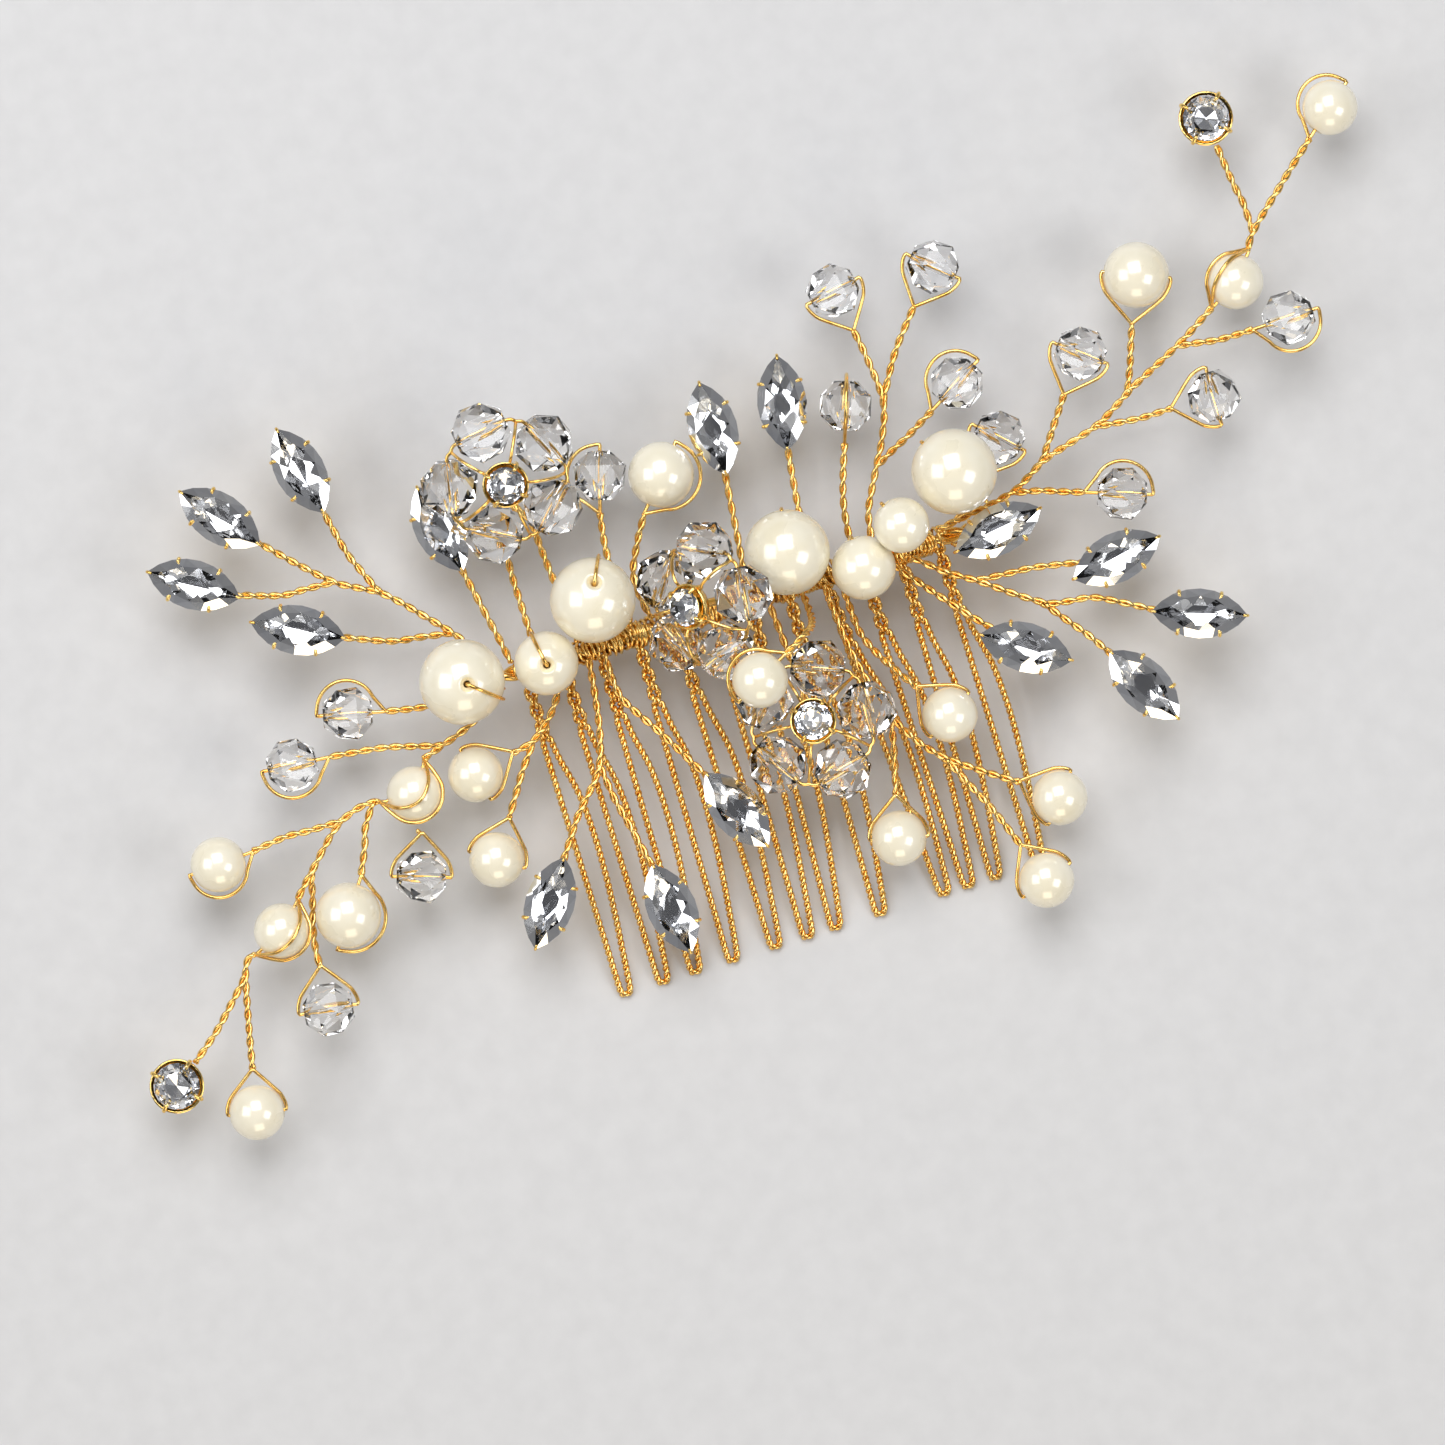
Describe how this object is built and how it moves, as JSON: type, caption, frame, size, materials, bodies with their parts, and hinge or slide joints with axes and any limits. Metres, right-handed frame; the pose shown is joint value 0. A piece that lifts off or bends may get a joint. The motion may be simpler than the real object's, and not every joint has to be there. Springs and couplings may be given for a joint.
{
  "type": "decorative hair comb",
  "caption": "Wire hair comb with looped teeth and a wrapped bar, dressed with twisted-wire sprays of pearls, faceted beads, leaf-shaped stones and beaded flowers.",
  "frame": {"origin": "on the axis of the comb's bar, midway along it", "axes": "+X along the bar to the wearer's view right, +Y from the tooth tips towards the bar, +Z out of the decorated front"},
  "size_m": [0.1356, 0.0687, 0.0184],
  "materials": {
    "gold_wire": "bright polished gold-coloured twisted wire",
    "setting": "polished gold-coloured claw settings",
    "pearl": "ivory pearl lustre",
    "clear_bead": "clear cut glass",
    "leaf_stone": "foil-backed cut stone",
    "round_stone": "foil-backed round cut stone"
  },
  "bodies": {
    "comb": {"comb_bar": "gold_wire", "comb_teeth": "gold_wire", "binding_wire": "gold_wire", "bar_pearl_wires": "gold_wire", "bead_wires": "gold_wire", "flower_rings": "gold_wire", "left_leaf_stem": "gold_wire", "left_pearl_stem": "gold_wire", "lower_left_bead_stem": "gold_wire", "lower_left_leaf_stem": "gold_wire", "upper_stem": "gold_wire", "crystal_fan_stem": "gold_wire", "right_pearl_stem": "gold_wire", "right_leaf_stem": "gold_wire", "lower_right_stem": "gold_wire", "large_pearls": "pearl", "small_bar_pearls": "pearl", "gripped_pearls": "pearl", "flower_beads_1": "clear_bead", "flower_beads_2": "clear_bead", "flower_beads_3": "clear_bead", "flower_settings": "setting", "left_leaf_settings": "setting", "lower_left_leaf_settings": "setting", "upper_leaf_settings": "setting", "right_leaf_settings": "setting", "tip_settings": "setting", "left_leaf_stones": "leaf_stone", "lower_left_leaf_stones": "leaf_stone", "upper_leaf_stones": "leaf_stone", "right_leaf_stones": "leaf_stone", "flower_stones": "round_stone", "tip_stones": "round_stone"},
    "turning_pearl_1": {"turning_pearl_1": "pearl"},
    "turning_pearl_2": {"turning_pearl_2": "pearl"},
    "turning_pearl_3": {"turning_pearl_3": "pearl"},
    "turning_pearl_4": {"turning_pearl_4": "pearl"},
    "turning_pearl_5": {"turning_pearl_5": "pearl"},
    "turning_pearl_6": {"turning_pearl_6": "pearl"},
    "turning_pearl_7": {"turning_pearl_7": "pearl"},
    "turning_pearl_8": {"turning_pearl_8": "pearl"},
    "turning_pearl_9": {"turning_pearl_9": "pearl"},
    "turning_pearl_10": {"turning_pearl_10": "pearl"},
    "turning_pearl_11": {"turning_pearl_11": "pearl"},
    "turning_pearl_12": {"turning_pearl_12": "pearl"},
    "turning_pearl_13": {"turning_pearl_13": "pearl"},
    "crystal_bead_1": {"crystal_bead_1": "clear_bead"},
    "crystal_bead_2": {"crystal_bead_2": "clear_bead"},
    "crystal_bead_3": {"crystal_bead_3": "clear_bead"},
    "crystal_bead_4": {"crystal_bead_4": "clear_bead"},
    "crystal_bead_5": {"crystal_bead_5": "clear_bead"},
    "crystal_bead_6": {"crystal_bead_6": "clear_bead"},
    "crystal_bead_7": {"crystal_bead_7": "clear_bead"},
    "crystal_bead_8": {"crystal_bead_8": "clear_bead"},
    "crystal_bead_9": {"crystal_bead_9": "clear_bead"},
    "crystal_bead_10": {"crystal_bead_10": "clear_bead"},
    "crystal_bead_11": {"crystal_bead_11": "clear_bead"},
    "crystal_bead_12": {"crystal_bead_12": "clear_bead"},
    "crystal_bead_13": {"crystal_bead_13": "clear_bead"},
    "crystal_bead_14": {"crystal_bead_14": "clear_bead"}
  },
  "joints": [
    {"name": "turning_pearl_1_spin", "type": "hinge", "parent": "comb", "child": "turning_pearl_1", "pos_m": [-0.0275, -0.008, 0.00196], "axis": [-0.2425, 0.9701, 0], "continuous": true},
    {"name": "turning_pearl_2_spin", "type": "hinge", "parent": "comb", "child": "turning_pearl_2", "pos_m": [-0.028, -0.0162, 0.00196], "axis": [-0.8286, 0.5599, 0], "continuous": true},
    {"name": "turning_pearl_3_spin", "type": "hinge", "parent": "comb", "child": "turning_pearl_3", "pos_m": [-0.053, -0.0088, 0.00196], "axis": [-0.9984, -0.057, 0], "continuous": true},
    {"name": "turning_pearl_4_spin", "type": "hinge", "parent": "comb", "child": "turning_pearl_4", "pos_m": [-0.0428, -0.017, 0.00196], "axis": [-0.5735, -0.8192, 0], "continuous": true},
    {"name": "turning_pearl_5_spin", "type": "hinge", "parent": "comb", "child": "turning_pearl_5", "pos_m": [-0.0565, -0.032, 0.00196], "axis": [-0.9806, 0.1961, 0], "continuous": true},
    {"name": "turning_pearl_6_spin", "type": "hinge", "parent": "comb", "child": "turning_pearl_6", "pos_m": [-0.0025, 0.0135, 0.00316], "axis": [0.6585, 0.7526, 0], "continuous": true},
    {"name": "turning_pearl_7_spin", "type": "hinge", "parent": "comb", "child": "turning_pearl_7", "pos_m": [0.0005, -0.0076, 0.01096], "axis": [-0.8812, -0.4728, 0], "continuous": true},
    {"name": "turning_pearl_8_spin", "type": "hinge", "parent": "comb", "child": "turning_pearl_8", "pos_m": [0.0165, -0.016, 0.00236], "axis": [-0.848, -0.53, 0], "continuous": true},
    {"name": "turning_pearl_9_spin", "type": "hinge", "parent": "comb", "child": "turning_pearl_9", "pos_m": [0.024, -0.0265, 0.00146], "axis": [-0.6432, -0.7657, 0], "continuous": true},
    {"name": "turning_pearl_10_spin", "type": "hinge", "parent": "comb", "child": "turning_pearl_10", "pos_m": [0.0205, -0.0335, 0.00146], "axis": [-0.9472, -0.3206, 0], "continuous": true},
    {"name": "turning_pearl_11_spin", "type": "hinge", "parent": "comb", "child": "turning_pearl_11", "pos_m": [0.0085, -0.0256, 0.00156], "axis": [-0.9741, 0.2261, 0], "continuous": true},
    {"name": "turning_pearl_12_spin", "type": "hinge", "parent": "comb", "child": "turning_pearl_12", "pos_m": [0.0455, 0.018, 0.00196], "axis": [0.9231, -0.3846, 0], "continuous": true},
    {"name": "turning_pearl_13_spin", "type": "hinge", "parent": "comb", "child": "turning_pearl_13", "pos_m": [0.0675, 0.0275, 0.00196], "axis": [0.774, 0.6332, 0], "continuous": true},
    {"name": "crystal_bead_1_spin", "type": "hinge", "parent": "comb", "child": "crystal_bead_1", "pos_m": [-0.0372, 0.001, 0.00186], "axis": [-0.972, 0.2352, 0], "continuous": true},
    {"name": "crystal_bead_2_spin", "type": "hinge", "parent": "comb", "child": "crystal_bead_2", "pos_m": [-0.0436, -0.002, 0.00186], "axis": [-0.9959, 0.0905, 0], "continuous": true},
    {"name": "crystal_bead_3_spin", "type": "hinge", "parent": "comb", "child": "crystal_bead_3", "pos_m": [-0.0352, -0.0156, 0.00196], "axis": [-0.9487, 0.3162, 0], "continuous": true},
    {"name": "crystal_bead_4_spin", "type": "hinge", "parent": "comb", "child": "crystal_bead_4", "pos_m": [-0.0472, -0.0248, 0.00196], "axis": [-0.9928, 0.1198, 0], "continuous": true},
    {"name": "crystal_bead_5_spin", "type": "hinge", "parent": "comb", "child": "crystal_bead_5", "pos_m": [0.018, 0.0251, 0.00176], "axis": [0.9844, 0.1758, 0], "continuous": true},
    {"name": "crystal_bead_6_spin", "type": "hinge", "parent": "comb", "child": "crystal_bead_6", "pos_m": [0.0276, 0.0245, 0.00176], "axis": [0.7392, -0.6735, 0], "continuous": true},
    {"name": "crystal_bead_7_spin", "type": "hinge", "parent": "comb", "child": "crystal_bead_7", "pos_m": [0.0159, 0.0145, 0.00176], "axis": [0.3265, 0.9452, 0], "continuous": true},
    {"name": "crystal_bead_8_spin", "type": "hinge", "parent": "comb", "child": "crystal_bead_8", "pos_m": [0.0265, 0.0134, 0.00176], "axis": [0.865, 0.5017, 0], "continuous": true},
    {"name": "crystal_bead_9_spin", "type": "hinge", "parent": "comb", "child": "crystal_bead_9", "pos_m": [0.0287, 0.0074, 0.00036], "axis": [0.7165, -0.6976, 0], "continuous": true},
    {"name": "crystal_bead_10_spin", "type": "hinge", "parent": "comb", "child": "crystal_bead_10", "pos_m": [0.0383, 0.0126, 0.00186], "axis": [0.7792, -0.6268, 0], "continuous": true},
    {"name": "crystal_bead_11_spin", "type": "hinge", "parent": "comb", "child": "crystal_bead_11", "pos_m": [0.049, 0.005, 0.00186], "axis": [-0.0333, -0.9994, 0], "continuous": true},
    {"name": "crystal_bead_12_spin", "type": "hinge", "parent": "comb", "child": "crystal_bead_12", "pos_m": [0.0579, 0.0099, 0.00196], "axis": [0.9999, 0.0169, 0], "continuous": true},
    {"name": "crystal_bead_13_spin", "type": "hinge", "parent": "comb", "child": "crystal_bead_13", "pos_m": [0.0381, -0.0011, 0.00186], "axis": [0.9436, -0.3311, 0], "continuous": true},
    {"name": "crystal_bead_14_spin", "type": "hinge", "parent": "comb", "child": "crystal_bead_14", "pos_m": [-0.008, 0.0152, 0.00136], "axis": [0.2957, 0.9553, 0], "continuous": true}
  ]
}
